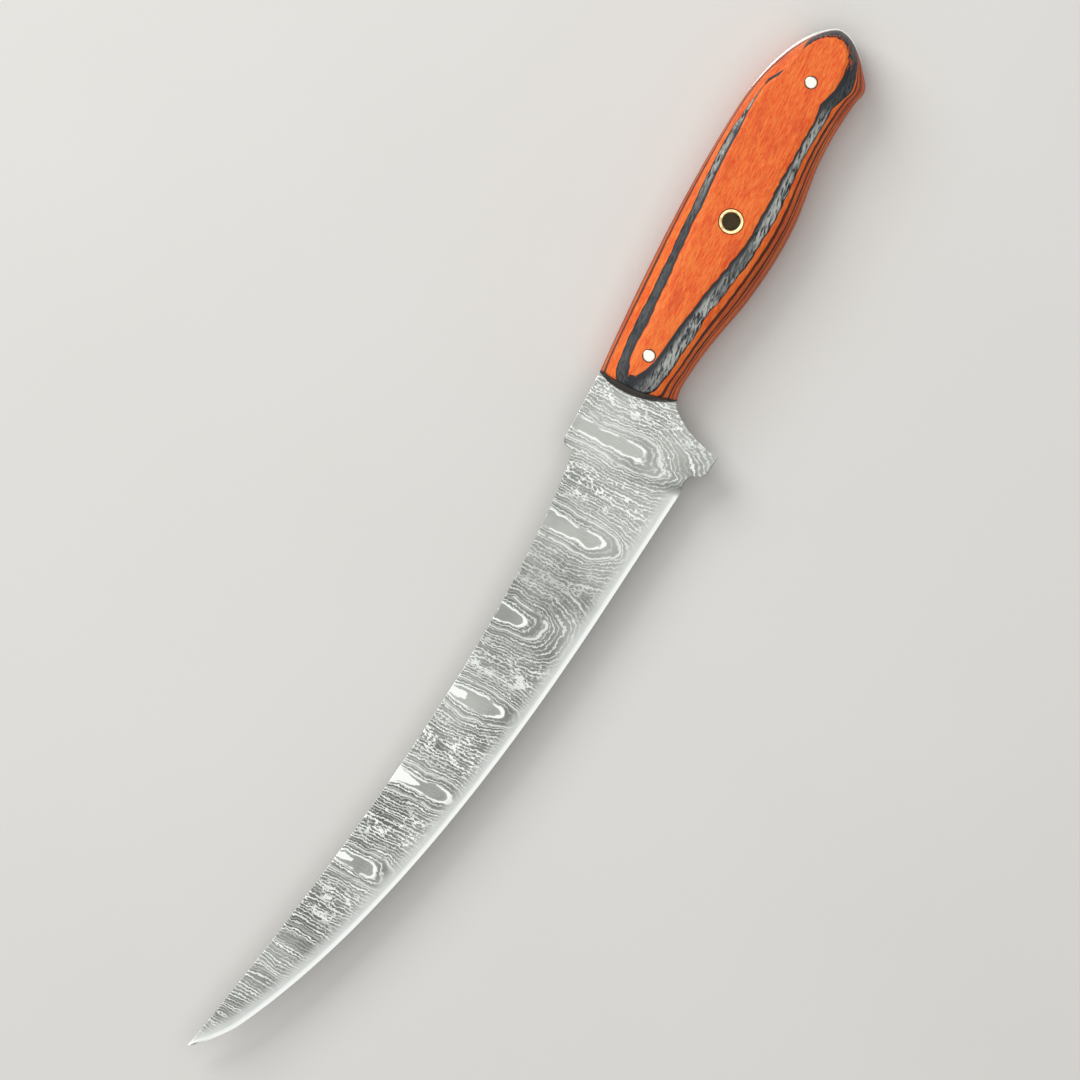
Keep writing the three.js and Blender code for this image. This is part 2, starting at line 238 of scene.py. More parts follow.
plunge = np.append(1 - smooth(0, PLUNGE_LENGTH, plunge_run), plate_ones)
spine_half = np.append(TIP_HALF + (HALF_STOCK - TIP_HALF) * blade_share, plate_ones * HALF_STOCK)
width = np.hypot(*(spine_side - edge_side).T)
inward = (spine_side - edge_side) / width[:, None]
spine_break = np.minimum(BREAK, width / 4)
bevel = np.minimum(BEVEL_WIDTH + (BREAK - BEVEL_WIDTH) * plunge, width / 3)
bevel_half = np.minimum(BEVEL_HALF, spine_half)
bevel_half = bevel_half + (HALF_STOCK - bevel_half) * plunge
edge_half = EDGE_HALF + (HALF_STOCK - BREAK - EDGE_HALF) * plunge


def blade_rings():
    """Cross-sections from tip to butt. Each goes from the edge up the bevel, straight up the ground face to
    the spine, over it and back down the other face: the height is a straight line between those corners."""
    share = np.linspace(0, 1, GRIND_ROWS)
    ground = bevel[:, None] + (width - spine_break - bevel)[:, None] * share
    inset = np.column_stack([np.zeros_like(width), ground, width])
    ground_half = bevel_half[:, None] + (spine_half - bevel_half)[:, None] * share
    height = np.column_stack([edge_half, ground_half, spine_half - spine_break / 2])
    flat = edge_side[:, None, :] + inward[:, None, :] * inset[..., None]
    upper = np.concatenate([flat, height[..., None]], axis=-1)
    lower = upper * (1, 1, -1)
    both = np.concatenate([inset, inset[:, ::-1]], axis=1)
    return np.concatenate([upper, lower[:, ::-1]], axis=1), both


# Loops of the pattern, hammered in from the spine: where each lies along the blade, how far down its sides
# run straight, how clear its plain middle is, and how long the white wedge at its top is.
LOOP_AT = (-213.0, -188.0, -163.0, -137.7, -112.7, -87.2, -64.4, -37.9, -13.6, 11.0)
LOOP_STRAIGHT = (40.0, 40.0, 30.0, 7.0, 11.5, 11.0, 4.8, 13.4, 17.2, 17.2)
LOOP_CLEAR = (0.0, 0.0, 0.2, 1.0, 1.0, 1.0, 1.0, 1.0, 1.0, 0.0)
LOOP_WHITE = (0.0, 0.0, 0.0, 4.2, 7.5, 4.6, 0.0, 0.0, 0.0, 0.0)
# How bright the lines are half way from each loop to the next, and how many specks lie there.
BETWEEN_LINES = (1.0, 1.0, 1.0, 1.0, 1.0, 0.85, 0.6, 0.9, 0.9)
BETWEEN_SPECKS = (0.0, 0.05, 0.9, 1.0, 1.0, 0.8, 0.4, 1.0, 1.0)
LOOP_SPACING = 25.0
LOOP_LEAN = 0.1
LOOP_FALL = 0.52
LAYER_RATE = 7.6
INNER_LAYER = 1.85
OUTER_LAYER = 4.1
BUFF_WIDTH = 5.0
TANG_BUFF_RUN = 3.0
PLUNGE_LIFT = 8.0


def node(tree, kind, sockets=None, **settings):
    """A shader node. Settings are its properties, and sockets its inputs: a value, or an output to link."""
    made = tree.nodes.new(kind)
    for name, value in settings.items():
        setattr(made, name, value)
    for key, value in (sockets or {}).items():
        if isinstance(value, bpy.types.NodeSocket):
            tree.links.new(value, made.inputs[key])
        else:
            made.inputs[key].default_value = value
    return made


def calc(tree, operation, *values):
    """The output of a Math node for these values or outputs."""
    return node(tree, "ShaderNodeMath", dict(enumerate(values)), operation=operation).outputs[0]


def fade(tree, value, low, high, start=0.0, end=1.0):
    """The output of a smooth step from start, where value is low, to end, where it is high."""
    sockets = {"Value": value, "From Min": low, "From Max": high, "To Min": start, "To Max": end}
    return node(tree, "ShaderNodeMapRange", sockets, interpolation_type="SMOOTHSTEP").outputs[0]


def blend(tree, share, first, second):
    """The output colour that goes from first to second as share goes from 0 to 1."""
    return node(tree, "ShaderNodeMix", {0: share, 6: first, 7: second}, data_type="RGBA").outputs[2]


def cloud(tree, vector, scale=1.0, detail=2.0, roughness=0.5, warp=0.0):
    """The output of a noise about 0.5 on a vector."""
    sockets = {
        "Vector": vector, "Scale": scale, "Detail": detail, "Roughness": roughness, "Distortion": warp,
    }
    return node(tree, "ShaderNodeTexNoise", sockets).outputs[0]


def stored(tree, name):
    """The output of a number stored on the vertices."""
    return node(tree, "ShaderNodeAttribute", attribute_name=name).outputs["Fac"]


def grid(tree, size=(1.0, 1.0, 1.0), turn=0.0):
    """Object coordinates in steps of a size in millimetres, along axes turned about Z."""
    place = node(tree, "ShaderNodeTexCoord").outputs["Object"]
    sockets = {"Vector": place, "Scale": [MM * length for length in size], "Rotation": (0.0, 0.0, turn)}
    return node(tree, "ShaderNodeMapping", sockets, vector_type="TEXTURE").outputs[0]


def colour(red, green, blue):
    """A colour as it is written for a screen, as the linear colour of light."""
    screen = np.array([red, green, blue]) / 255
    linear = np.where(screen <= 0.04045, screen / 12.92, ((screen + 0.055) / 1.055) ** 2.4)
    return (*linear.tolist(), 1.0)


def finish_of(name):
    """A new material with its node tree and its shader."""
    made = bpy.data.materials.new(name)
    made.use_nodes = True
    return made, made.node_tree, made.node_tree.nodes["Principled BSDF"]


ETCHED_DARK = colour(100, 103, 97)
ETCHED_PALE = colour(176, 179, 173)
LAYER_BRIGHT = colour(228, 231, 226)
BUFFED = colour(210, 213, 209)
HONED = colour(230, 233, 230)


def etched_steel():
    """Layers are even steps of the distance round a loop, sqrt(nearest^2 + drop^2), shaken by noise, so
    that they lie straight across the blade and bend round the loops' ends. The two layers nearest a loop
    are bold, and a wedge at the top of some is white. Half way between loops the layers break up into
    specks. All fade where the edge was buffed and honed."""
    made, tree, shader = finish_of("etched_steel")
    place = grid(tree)
    depth = stored(tree, "depth")
    nearest = calc(tree, "MULTIPLY", calc(tree, "PINGPONG", stored(tree, "loop_count"), 0.5), LOOP_SPACING)
    drop = calc(tree, "MULTIPLY", LOOP_FALL, calc(tree, "MAXIMUM", 0.0, calc(
        tree, "SUBTRACT", depth, stored(tree, "loop_straight"))))
    reach = calc(tree, "SQRT", calc(tree, "ADD", calc(tree, "MULTIPLY", nearest, nearest), calc(
        tree, "MULTIPLY", drop, drop)))
    broad = calc(tree, "MULTIPLY_ADD", cloud(tree, place, 0.09), 3.4, -1.7)
    shake = calc(tree, "MULTIPLY_ADD", cloud(tree, place, 0.4, 3.0), 1.1, -0.55)
    layer = calc(tree, "ADD", reach, calc(tree, "ADD", broad, shake))
    jagged = calc(tree, "MULTIPLY_ADD", cloud(tree, place, 1.5), 0.9, calc(
        tree, "SUBTRACT", layer, 0.45))
    band_place = {"X": jagged, "Y": calc(tree, "MULTIPLY", depth, 0.07)}
    bands = node(tree, "ShaderNodeCombineXYZ", band_place).outputs[0]
    step = calc(tree, "SINE", calc(tree, "MULTIPLY_ADD", jagged, LAYER_RATE, calc(
        tree, "MULTIPLY", cloud(tree, bands, 0.5), 9.0)))
    strength = calc(tree, "MULTIPLY", fade(
        tree, cloud(tree, bands, 0.6), 0.36, 0.6, 0.25, 1.0), stored(tree, "line_strength"))
    clear = stored(tree, "loop_clear")
    plain = calc(tree, "MULTIPLY", clear, fade(tree, layer, 2.6, 1.6))
    under = fade(tree, drop, 0.2, 1.6)
    sharp = fade(tree, calc(tree, "MULTIPLY_ADD", under, -0.2, step), 0.1, 0.75)
    thin = calc(tree, "MULTIPLY", sharp, calc(
        tree, "MULTIPLY", strength, calc(tree, "MULTIPLY_ADD", plain, -0.85, 1.0)))
    inner = fade(tree, calc(tree, "MULTIPLY_ADD", under, -0.1, calc(
        tree, "ABSOLUTE", calc(tree, "SUBTRACT", layer, INNER_LAYER))), 0.28, 0.13)
    outer_gap = calc(tree, "ABSOLUTE", calc(tree, "SUBTRACT", layer, OUTER_LAYER))
    outer = fade(tree, outer_gap, 0.28, 0.14, 0.0, 0.7)
    whole = calc(tree, "MULTIPLY", clear, fade(tree, cloud(tree, place, 0.22), 0.33, 0.43))
    bold = calc(tree, "MULTIPLY", calc(tree, "MAXIMUM", inner, outer), whole)
    spread = fade(tree, nearest, 4.0, 10.0)
    broken = cloud(tree, grid(tree, (0.5, 0.95, 1.0)), 1.0, 4.0, 0.6)
    clumps = cloud(tree, grid(tree, (2.6, 4.4, 2.6)))
    amount = calc(tree, "MULTIPLY", spread, stored(tree, "speck_strength"))
    specks = calc(tree, "MULTIPLY", amount, fade(tree, calc(
        tree, "MULTIPLY_ADD", clumps, 0.6, broken), 0.83, 0.92))
    ragged = calc(tree, "MULTIPLY_ADD", cloud(tree, place, 0.8, 3.0), 3.0, calc(
        tree, "SUBTRACT", depth, 1.5))
    rest = calc(tree, "MAXIMUM", 0.0, calc(tree, "SUBTRACT", stored(tree, "loop_white"), ragged))
    core = calc(tree, "MULTIPLY", fade(tree, rest, 0.0, 0.4), fade(tree, calc(
        tree, "MULTIPLY_ADD", calc(tree, "SQRT", rest), -0.65, layer), 0.15, -0.15))
    lines = calc(tree, "MAXIMUM", calc(tree, "MAXIMUM", thin, bold), calc(tree, "MAXIMUM", specks, core))
    edge_gap = stored(tree, "edge_gap")
    kept = fade(tree, calc(tree, "ADD", edge_gap, shake), 0.6, BUFF_WIDTH)
    lines = calc(tree, "MULTIPLY", lines, kept)
    honed = fade(tree, edge_gap, BEVEL_WIDTH, 0.5)
    near_handle = fade(tree, node(tree, "ShaderNodeSeparateXYZ", {0: place}).outputs["X"], -55.0, 15.0)
    cloudy = fade(tree, cloud(tree, place, 0.06, 3.0), 0.3, 0.7, 0.0, 0.6)
    cloudy = calc(tree, "MULTIPLY_ADD", near_handle, 0.3, cloudy)
    cloudy = calc(tree, "MULTIPLY_ADD", plain, 0.35, cloudy)
    ground = blend(tree, cloudy, ETCHED_DARK, ETCHED_PALE)
    ground = blend(tree, kept, BUFFED, ground)
    etched = blend(tree, lines, ground, LAYER_BRIGHT)
    tree.links.new(blend(tree, honed, etched, HONED), shader.inputs["Base Color"])
    matt = fade(tree, lines, 0.0, 1.0, 0.44, 0.34)
    tree.links.new(calc(tree, "MULTIPLY_ADD", honed, -0.12, matt), shader.inputs["Roughness"])
    relief = node(tree, "ShaderNodeBump", {"Strength": 0.2, "Distance": 0.03 * MM, "Height": lines})
    tree.links.new(relief.outputs[0], shader.inputs["Normal"])
    shader.inputs["Metallic"].default_value = 1.0
    return made


rings, inset = blade_rings()
blade_points = rings.reshape(-1, 3)
blade = piece("patterned_blade", blade_points, skin(rings), etched_steel())
from_spine = np.maximum(width[:, None] - inset, 0)
in_handle = smooth(0, TANG_BUFF_RUN, spine_side[:, 0])[:, None]
rim_gap = np.minimum(inset, from_spine)
paint(blade, "depth", from_spine)
off_edge = inset + PLUNGE_LIFT * plunge[:, None] ** 2
paint(blade, "edge_gap", off_edge + (rim_gap - off_edge) * in_handle)
leaning = rings[..., 0] - LOOP_LEAN * from_spine
paint(blade, "loop_count", np.interp(leaning, LOOP_AT, np.arange(len(LOOP_AT))))
paint(blade, "loop_straight", np.interp(leaning, LOOP_AT, LOOP_STRAIGHT))
paint(blade, "loop_clear", np.interp(leaning, LOOP_AT, LOOP_CLEAR))
paint(blade, "loop_white", np.interp(leaning, LOOP_AT, LOOP_WHITE))
half_way = (np.array(LOOP_AT[1:]) + LOOP_AT[:-1]) / 2
paint(blade, "line_strength", np.interp(leaning, half_way, BETWEEN_LINES))
paint(blade, "speck_strength", np.interp(leaning, half_way, BETWEEN_SPECKS))

# The tang is drilled for the two pins and the lanyard tube.
PIN_RADIUS = 3.175 / 2
TUBE_RADIUS = 6.35 / 2
GLUE_GAP = 0.15
ROUND_STEPS = 64
FRONT_PIN = (10.4, -3.0)
TUBE = (50.1, -1.8)
REAR_PIN = (HANDLE_LENGTH - 15.5, 0.5)
HOLES = [
    (FRONT_PIN, PIN_RADIUS + GLUE_GAP),
    (TUBE, TUBE_RADIUS + GLUE_GAP),
    (REAR_PIN, PIN_RADIUS + GLUE_GAP),
]
BLADE_CREASE = np.radians(25)


def round_hole(centre, radius):
    """Points round a circle about a centre, in order."""
    turn = np.linspace(0, 2 * np.pi, ROUND_STEPS, endpoint=False)
    return np.array(centre) + radius * np.column_stack([np.cos(turn), np.sin(turn)])


def drill_rings(centre, radius):
    """A drill as long as the stock is thick twice over: a circle carried straight up."""
    circle = round_hole(centre, radius)
    ends = (-2 * HALF_STOCK, 2 * HALF_STOCK)
    return np.stack([np.column_stack([circle, np.full(ROUND_STEPS, z)]) for z in ends])


for centre, radius in HOLES:
    rod = drill_rings(centre, radius)
    drill = piece("drill", rod.reshape(-1, 3), skin(rod), blade.data.materials[0])
    cut = blade.modifiers.new("drilled", "BOOLEAN")
    cut.object = drill
    cut.solver = "EXACT"
    drilled = bpy.data.meshes.new_from_object(blade.evaluated_get(bpy.context.evaluated_depsgraph_get()))
    blade.modifiers.remove(cut)
    blade.data = drilled
    bpy.data.objects.remove(drill)
blade.data.set_sharp_from_angle(angle=BLADE_CREASE)
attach(blade, "root")
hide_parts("blade")

# Scales. Sheets of dyed veneer, red and black in turn, glued into a block that was split for the two sides,
# glued to the tang and ground to a dome, so that each sheet shows as a band round the handle.
# The face is flat along the middle and runs to a point at the front, where the block was cut round.
PLIES = 7
FACE_HEIGHT = 8.0
SIDE_STEPS = 260
FRONT_STEPS = 14
WALL_ROWS = 7
BUTT_SETBACK = 0.3
FRONT_RADIUS = 24.0
FRONT_BULGE = 0.8
FRONT_LEAN = np.tan(np.radians(13))
FRONT_EASE = 0.5
FRONT_EASE_FROM = 2.0
FRONT_RAMP = 5.0
FRONT_DROP = 1.6
BLOCK_START = -2 * FRONT_BULGE
SCALE_RUN_OUT = 18.3
SCALE_BUTT_IN = 0.7
SCALE_BUTT_RISE = 3.1
LENGTH_SCALE = 120.0
START_TRIES = 24

scale_spine = path(
    curve((BLOCK_START, SPINE_FRONT[1]), SPINE_FRONT),
    handle_spine[0],
    curve(
        CROWN,
        (CROWN[0] + SCALE_RUN_OUT, CROWN[1]),
        (BUTT_TOP[0] - SCALE_BUTT_IN, BUTT_TOP[1] + SCALE_BUTT_RISE),
        (BUTT_TOP[0] - BUTT_SETBACK, BUTT_TOP[1]),
    ),
)
scale_belly = path(
    curve((BLOCK_START, FINGER[1]), FINGER),
    *handle_belly[:-1],
    curve(
        CORNER_OUT,
        (BUTT_BOTTOM[0] - BUTT_SETBACK, BUTT_BOTTOM[1] - BUTT_FALL),
        (BUTT_BOTTOM[0] - BUTT_SETBACK, BUTT_BOTTOM[1]),
    ),
)
# The two sides of the flat face, from the front to the butt.
face_spine = path(
    curve((BLOCK_START, -1.65), (3.5, -1.75), (5.5, -0.9), (14, -0.75)),
    curve((14, -0.75), (22, -0.65), (30, 0.9), (36, 2.4)),
    curve((36, 2.4), (52, 5.6), (69, 9.4), (80.5, 9.4)),
    curve((80.5, 9.4), (86.3, 9.4), (85.5, 7.8), (90.5, 7.6)),
    curve((90.5, 7.6), (97, 7.4), (102.4, 4.4), (102.7, 0.9)),
)
face_belly = path(
    curve((BLOCK_START, -1.75), (4.6, -1.7), (5.2, -3.6), (9, -4.55)),
    curve((9, -4.55), (10.5, -4.95), (11.5, -4.9), (13, -4.85)),
    curve((13, -4.85), (26, -4.0), (37, -4.3), (46, -5.1)),
    curve((46, -5.1), (58, -6.1), (68, -3.6), (80, -3.5)),
    curve((80, -3.5), (92, -3.3), (103, -6.6), (102.7, 0.7)),
)
# The dome's profile: the share of the way in from foot to face, and the share of the way up.
profile = curve((0, 0), (0.02, 0.42), (0.42, 0.93), (1, 1))


def face_height(x):
    """Height of the face above the tang: level, but falling by the square of the way in to the front."""
    return FACE_HEIGHT - FRONT_DROP * np.maximum(0, (FRONT_RAMP - x) / FRONT_RAMP) ** 2


def front_limit(y, z):
    """Where a level starts at the front: on a round face that leans back and is eased at the spine, or
    where the ramp of the face does, if that is further back."""
    arc = FRONT_RADIUS - FRONT_BULGE - np.sqrt(FRONT_RADIUS ** 2 - y ** 2) + z * FRONT_LEAN
    arc = arc + FRONT_EASE * smooth(FRONT_EASE_FROM, SPINE_FRONT[1], y)
    ramp = FRONT_RAMP * (1 - np.sqrt(np.maximum(0, FACE_HEIGHT - z) / FRONT_DROP))
    return np.maximum(arc, ramp)


def on_dome(foot, face, share, z):
    """Point of the dome at a height: from the foot in to the face by the profile's share at that rise."""
    low, high = foot(share), face(share)
    rise = np.clip(z / face_height(high[..., 0]), 0, 1)
    inward_share = np.interp(rise, profile[:, 1], profile[:, 0])
    return low + (high - low) * inward_share[..., None]


# The glue lines over and under the black ply that frames the face, on the spine side and on the belly side:
# places along the handle and heights there. The ply folds up and dies out near the butt on the spine side,
# and is thick round the butt.
FRAME_TOP = (
    ((0, 7.88), (2, 7.55), (5, 7.4), (17, 7.3), (41, 7.3), (46, 7.6), (62, 7.63), (69, 7.87),
     (83, 7.5), (88, 7.88), (97, 7.8), (99, 7.5)),
    ((0, 7.96), (6, 7.99), (17, 7.88), (41, 7.5), (53, 7.62), (74, 7.43), (83, 7.53), (88, 7.85),
     (99, 7.35)),
)
FRAME_FOOT = (
    ((0, 6.3), (5, 6.3), (9, 5.8), (17, 5.6), (33, 6.1), (53, 5.9), (69, 5.8), (73, 6.6), (83, 7.3),
     (85, 7.05), (90, 7.9), (97, 7.8), (99, 2.6), (104, 1.3)),
    ((0, 6.3), (17, 6.2), (25, 6.65), (41, 6.15), (53, 6.4), (69, 6.15), (83, 6.15), (87, 6.55),
     (97, 4.6), (104, 1.4)),
)
# Heights of the thin plies' glue lines below, on the same two sides, and the height of the frame at which
# they start to sink.
THIN_LINES = ((1.1, 1.4, 2.9, 3.5), (3.75, 4.15, 5.0, 5.45))
UNDER_FRAME = (5.2, 5.9)
SHOWN_HEIGHT = 6.8
THINNEST = 0.006
# Height and length of each wave in the veneer, and its shift from line to line and from side to side.
WAVES = ((0.08, 4.7, 2.1, 1), (0.05, 1.9, 4.3, -1), (0.04, 0.6, 5.2, 1))
WAVE_RUN_IN = 6.0


def wave(number, x, side):
    """Waves in the veneer: sines of falling length, with their own phases for each line and side."""
    sines = [
        height * np.sin(x / length + line_shift * number + side_shift * side)
        for height, length, line_shift, side_shift in WAVES
    ]
    return sum(sines) * smooth(0, WAVE_RUN_IN, x)


def veneer_height(number, x, side):
    """Height of the glue line on top of a ply along one side. The frame's two lines run straight from point
    to point, the thin lines below keep their heights but sink with the frame at the butt, and all wave."""
    top = np.interp(x, *np.transpose(FRAME_TOP[side]))
    top = np.minimum(top + wave(PLIES - 1, x, side) * (FACE_HEIGHT - top), FACE_HEIGHT - THINNEST)
    foot = np.interp(x, *np.transpose(FRAME_FOOT[side]))
    foot = np.minimum(foot + wave(PLIES - 2, x, side), top - THINNEST)
    sunk = np.minimum(1, foot / UNDER_FRAME[side])
    thin = [(level + wave(line, x, side) / 2) * sunk for line, level in enumerate(THIN_LINES[side], 1)]
    return [np.zeros_like(x), *thin, foot, top, np.full_like(x, FACE_HEIGHT)][number]


def ply_loops(bottom, top):
    """Loops round a ply from its lower to its upper glue line. Each runs from the middle of the front up
    the spine side to the butt and back along the belly, on the dome at its own height. A side's start is
    moved along, try by try, until it lies on the front."""
    along = np.linspace(0, 1, SIDE_STEPS)
    row = np.linspace(0, 1, WALL_ROWS)[:, None]
    sides = []
    for side, (foot, face) in enumerate([(scale_spine, face_spine), (scale_belly, face_belly)]):
        x = on_dome(foot, face, along, np.full_like(along, SHOWN_HEIGHT))[:, 0]
        low, high = (veneer_height(number, x, side) for number in (bottom, top))
        z = low + (high - low) * row
        start = np.zeros_like(row)
        for _ in range(START_TRIES):
            x, y = np.moveaxis(on_dome(foot, face, start, z[:, :1]), -1, 0)
            start = np.clip(start + (front_limit(y, z[:, :1]) - x) / LENGTH_SCALE, 0, 1)
        flat = on_dome(foot, face, start + (1 - start) * along, z)
        sides.append(np.concatenate([flat, z[..., None]], axis=-1))
    spine_wall, belly_wall = sides
    mix = np.linspace(0, 1, FRONT_STEPS)[1:-1, None]
    front = belly_wall[:, :1] + (spine_wall[:, :1] - belly_wall[:, :1]) * mix
    front[..., 0] = front_limit(front[..., 1], front[..., 2])
    half = (FRONT_STEPS - 2) // 2
    return np.concatenate([front[:, half:], spine_wall, belly_wall[:, ::-1], front[:, :half]], axis=1)


def sheet_face(outline, rims):
    """Triangles over a flat round with holes, as places in the points of its outline, then of its rims."""
    lines = [outline] + rims
    starts = np.cumsum([0] + [len(line) for line in lines])
    flat = np.vstack(lines)
    rounds = np.split(np.arange(len(flat)), starts[1:-1])
    edges = np.vstack([np.column_stack([ids, np.roll(ids, -1)]) for ids in rounds])
    corners = delaunay_2d_cdt([Vector(point) for point in flat.tolist()], edges.tolist(), [], 1, 1e-7)
    places = np.array([ids[0] for ids in corners[3]])
    triangles = places[np.array(corners[2])]
    line_of = np.searchsorted(starts, triangles, side="right")
    in_hole = (line_of > 1).all(axis=1) & (line_of == line_of[:, :1]).all(axis=1)
    return triangles[~in_hole]


# How brown each ply is, counted from the tang: partly staining and partly painted shade, laid on the lower
# plies and round the belly. The brown is paler away from the belly's lowest point.
PLY_STAIN_AND_SHADE = (0.65, 1.0, 0.45, 1.0, 0.0, 0.0, 0.0)
STAIN_AND_SHADE_LOSS = 0.3
# Share of the belly side's painted sheen on the black ply's gray fibres that the spine side gets.
SPINE_FIBRE_SHEEN = 0.8
NOSE_FRAY = 0.4
# Steps in the numbers that a ply carries for its material: where each starts and where it is whole, across
# the handle for the sides, whose gray fibres carry a painted sheen, from the belly's lowest point for the
# staining and painted shade, from the front for the end grain and its painted shade, and along the handle
# for the rest.
BELLY_SIDE = (-3, -5)
SPINE_SIDE = (3, 5)
STAIN_AND_SHADE_RUN = (6, 24)
END_GRAIN_AND_SHADE = (0.5, 0.1)
BELLY_SHEEN_FRONT = (4, 14)
BELLY_SHEEN_BUTT = (90, 82)
SPINE_SHEEN_FRONT = (35, 70)
SPINE_SHEEN_BUTT = (84, 78)
FRAME_GONE = (90.5, 92.5)
FRAME_BACK = (99, 97.5)
FRAYED_NOSE = (9, 5)
FRAYED_BUTT = (96, 100)


def ply_piece(name, bottom, top, flip, material):
    """A sheet: its wall between two loops, and its two faces, flat rounds of triangles with three holes.
    Its numbers for the material are smooth steps along the handle and across it."""
    loops = ply_loops(bottom, top)
    rows, count = loops.shape[:2]
    rims = [round_hole(*hole) for hole in HOLES]
    wall = skin(loops)[:(rows - 1) * count]
    middle = np.array([HANDLE_LENGTH / 2])
    levels = [veneer_height(number, middle, 0)[0] for number in (bottom, top)]
    raised = [np.column_stack([rim, np.full(ROUND_STEPS, z)]) for z in levels for rim in rims]
    points = np.vstack([loops.reshape(-1, 3), *raised])
    rim_count = len(rims) * ROUND_STEPS
    low_rim = rows * count + np.arange(rim_count)
    high_rim = low_rim + rim_count
    low_ids = np.append(np.arange(count), low_rim)
    high_ids = np.append((rows - 1) * count + np.arange(count), high_rim)
    low_face = low_ids[sheet_face(loops[0, :, :2], rims)][:, ::-1]
    high_face = high_ids[sheet_face(loops[-1, :, :2], rims)]
    after = np.roll(np.arange(rim_count).reshape(len(rims), -1), -1, axis=1).ravel()
    bores = np.column_stack([low_rim, high_rim, high_rim[after], low_rim[after]])
    if np.cross(*(loops[0, [0, count // 3], :2] - loops[0, 2 * count // 3, :2])) < 0:
        wall = wall[:, ::-1]
    faces = wall.tolist() + low_face.tolist() + high_face.tolist() + bores.tolist()
    flat = np.arange(len(faces)) >= len(wall)
    across = np.repeat(np.append(np.linspace(0, 1, rows), (0, 1)), [count] * rows + [rim_count] * 2)
    made = piece(name, (points + (0, 0, HALF_STOCK)) * (1, 1, flip), faces, material, flat)
    x, y, z = points.T
    behind = x - front_limit(y, np.minimum(z, FACE_HEIGHT - FRONT_DROP))
    # Where the black ply's gray fibres show: partly fibres cut at a slant, partly painted sheen, strongest
    # on the belly.
    belly_fibre_sheen = smooth(*BELLY_SIDE, y) * smooth(*BELLY_SHEEN_BUTT, x)
    belly_fibre_sheen = belly_fibre_sheen * (1 + smooth(*BELLY_SHEEN_FRONT, x)) / 2
    spine_fibre_sheen = smooth(*SPINE_SIDE, y) * smooth(*SPINE_SHEEN_FRONT, x) * smooth(*SPINE_SHEEN_BUTT, x)
    no_frame = smooth(*FRAME_GONE, x) * smooth(*FRAME_BACK, x) * (y > 0)
    frayed = NOSE_FRAY * smooth(*FRAYED_NOSE, x) + smooth(*FRAYED_BUTT, x)
    # The brown, partly staining and partly painted shade, is paler away from the belly's lowest point.
    stain_and_shade_loss = STAIN_AND_SHADE_LOSS * smooth(*STAIN_AND_SHADE_RUN, np.abs(x - BELLY[0]))
    paint(made, "across", np.maximum(across, no_frame) if top == PLIES else across)
    # The front face is darkened: partly end grain, partly painted shade where it faces away from the light.
    paint(made, "end_grain_and_shade", smooth(*END_GRAIN_AND_SHADE, behind))
    # Gray fibres of the black ply, partly a painted sheen.
    paint(made, "fibre_and_sheen", (belly_fibre_sheen + SPINE_FIBRE_SHEEN * spine_fibre_sheen) * (top == PLIES - 1))
    paint(made, "frayed", frayed * (top >= PLIES - 1))
    # Brown of each ply: partly staining and partly painted shade on the lower plies.
    paint(made, "stain_and_shade", PLY_STAIN_AND_SHADE[bottom] * (1 - stain_and_shade_loss))
    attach(made, "root")
    return made


def shredded(tree, reach):
    """The place across a ply, shaken where its edge was cut across the grain, so that it ends in teeth."""
    teeth = cloud(tree, grid(tree, (3.6, 0.55, 0.55), 0.1), 1.0, 1.0, 0.4)
    shaken = calc(tree, "MULTIPLY_ADD", teeth, reach, -reach / 2)
    return calc(tree, "MULTIPLY_ADD", stored(tree, "frayed"), shaken, stored(tree, "across"))


RED_DEEP = colour(234, 72, 16)
RED_PALE = colour(255, 136, 56)
RED_LIGHT_PATCH = colour(255, 140, 58)
RED_DARK_PATCH = colour(216, 72, 26)
RED_PORE = colour(170, 48, 16)
# Brown laid on the lower red plies: partly staining, partly painted shade.
RED_STAINED_AND_SHADED = colour(170, 80, 42)
RED_RING = colour(58, 26, 16)
RED_GLUE = colour(64, 28, 18)
# Front face of the red plies: darker end grain with painted shade.
RED_END_AND_SHADE = colour(48, 24, 14)
SLATE = colour(44, 48, 54)
# Gray of the black ply's fibres, partly a painted sheen.
FIBRE_SHEEN_GRAY = colour(204, 206, 200)
# Brown laid on the black plies: partly staining, partly painted shade.
BLACK_STAINED_AND_SHADED = colour(88, 38, 20)
BLACK_TOOTH = colour(196, 78, 32)
# Front face of the black plies: darker end grain with painted shade.
BLACK_END_AND_SHADE = colour(24, 16, 11)
RED_FRAY = 3.0
BLACK_FRAY = 2.2
RING_RATE = 14.0
WOOD_RELIEF = 0.05 * MM
WOOD_SHINE = 0.3


